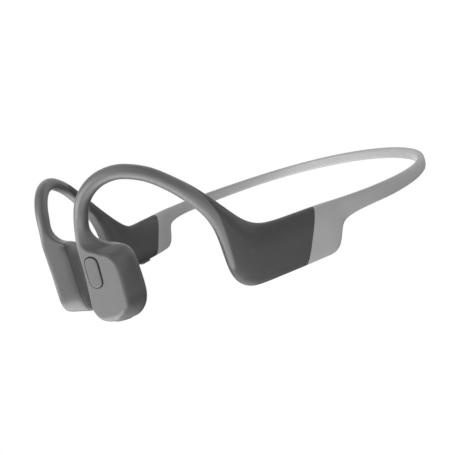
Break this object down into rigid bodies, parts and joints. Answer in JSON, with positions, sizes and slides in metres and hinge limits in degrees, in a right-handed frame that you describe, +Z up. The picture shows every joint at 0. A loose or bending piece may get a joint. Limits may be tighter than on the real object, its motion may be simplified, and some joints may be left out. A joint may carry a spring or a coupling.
{
  "type": "bone conduction headphones",
  "caption": "Wireless open-ear headphones: two transducer pods on ear hooks, behind-the-ear boxes for battery and electronics, and a flexible neckband round the back of the head.",
  "frame": {"origin": "centre of the bounding box in plan, on the plane the headphones rest on", "axes": "+Z up, +Y towards the back of the head (the neckband), -Y towards the face (the pods), +X to the wearer's left"},
  "size_m": [0.1384, 0.1682, 0.056],
  "materials": {
    "board": "solder mask",
    "button_key": "satin grey",
    "cable": "insulated",
    "cell": "foil pouch",
    "contact_gold": "gold plated",
    "contact_pad": "matte grey silicone over the cover",
    "copper_coil": "enamelled winding",
    "dark_housing": "matte grey, soft-touch coated",
    "dark_silicone": "matte grey silicone skin",
    "foam": "open foam",
    "lens": "translucent",
    "light_silicone": "matte light grey silicone",
    "magnet": "nickel plated",
    "plain_steel": "plain",
    "port": "matte black",
    "rubber_dome": "soft",
    "titanium_wire": "bare spring wire",
    "volume_key": "matte grey"
  },
  "bodies": {
    "band_centre": {"neckband_sleeve_centre": "light_silicone", "neckband_wire_centre": "titanium_wire"},
    "left_arm": {"left_neckband_sleeve": "light_silicone", "left_neckband_wire": "titanium_wire", "left_hook_sleeve": "dark_silicone", "left_hook_wire": "titanium_wire", "left_hook_cable": "cable", "button_switch_board": "board", "button_tact_switch": "plain_steel", "left_pod_housing": "dark_housing", "left_pod_contact_cover": "contact_pad", "left_driver_spring_plate": "plain_steel", "left_driver_voice_coil": "copper_coil", "battery_cell": "cell", "battery_foam": "foam", "battery_protection_board": "board", "left_box_shell": "dark_housing"},
    "right_arm": {"right_neckband_sleeve": "light_silicone", "right_neckband_wire": "titanium_wire", "right_hook_sleeve": "dark_silicone", "right_hook_wire": "titanium_wire", "right_hook_cable": "cable", "right_pod_housing": "dark_housing", "right_pod_contact_cover": "contact_pad", "right_driver_spring_plate": "plain_steel", "right_driver_voice_coil": "copper_coil", "right_box_shell": "dark_housing", "volume_up_switch": "plain_steel", "volume_down_switch": "plain_steel", "main_board": "board", "volume_key_board": "board", "radio_module": "plain_steel", "charging_port": "port", "charging_pin_a": "contact_gold", "charging_pin_b": "contact_gold", "charging_magnet": "magnet", "status_light_pipe": "lens", "microphone": "contact_gold"},
    "multifunction_button": {"multifunction_button": "button_key", "button_actuator": "rubber_dome"},
    "volume_up": {"volume_up_key": "volume_key"},
    "volume_down": {"volume_down_key": "volume_key"},
    "left_driver": {"left_driver_yoke": "plain_steel", "left_driver_magnet": "magnet", "left_driver_top_plate": "plain_steel"},
    "right_driver": {"right_driver_yoke": "plain_steel", "right_driver_magnet": "magnet", "right_driver_top_plate": "plain_steel"}
  },
  "joints": [
    {"name": "left_arm_flex", "type": "hinge", "parent": "band_centre", "child": "left_arm", "pos_m": [0.03186, 0.07578, 0.01646], "axis": [0, 0, 1], "range_deg": [-3, 24], "stiffness_Nm_per_rad": 0.35},
    {"name": "right_arm_flex", "type": "hinge", "parent": "band_centre", "child": "right_arm", "pos_m": [-0.03186, 0.07578, 0.01646], "axis": [0, 0, -1], "range_deg": [-3, 24], "stiffness_Nm_per_rad": 0.35},
    {"name": "multifunction_button_press", "type": "slide", "parent": "left_arm", "child": "multifunction_button", "axis": [-0.6157, 0.788, 0], "range_m": [0, 0.0004], "stiffness_N_per_m": 60},
    {"name": "volume_up_press", "type": "slide", "parent": "right_arm", "child": "volume_up", "axis": [0, 0, 1], "range_m": [0, 0.00035], "stiffness_N_per_m": 40},
    {"name": "volume_down_press", "type": "slide", "parent": "right_arm", "child": "volume_down", "axis": [0, 0, 1], "range_m": [0, 0.00035], "stiffness_N_per_m": 40},
    {"name": "left_driver_vibration", "type": "slide", "parent": "left_arm", "child": "left_driver", "axis": [0.6157, -0.788, 0], "range_m": [-0.0001, 0.0001], "stiffness_N_per_m": 300},
    {"name": "right_driver_vibration", "type": "slide", "parent": "right_arm", "child": "right_driver", "axis": [-0.6157, -0.788, 0], "range_m": [-0.0001, 0.0001], "stiffness_N_per_m": 300}
  ]
}
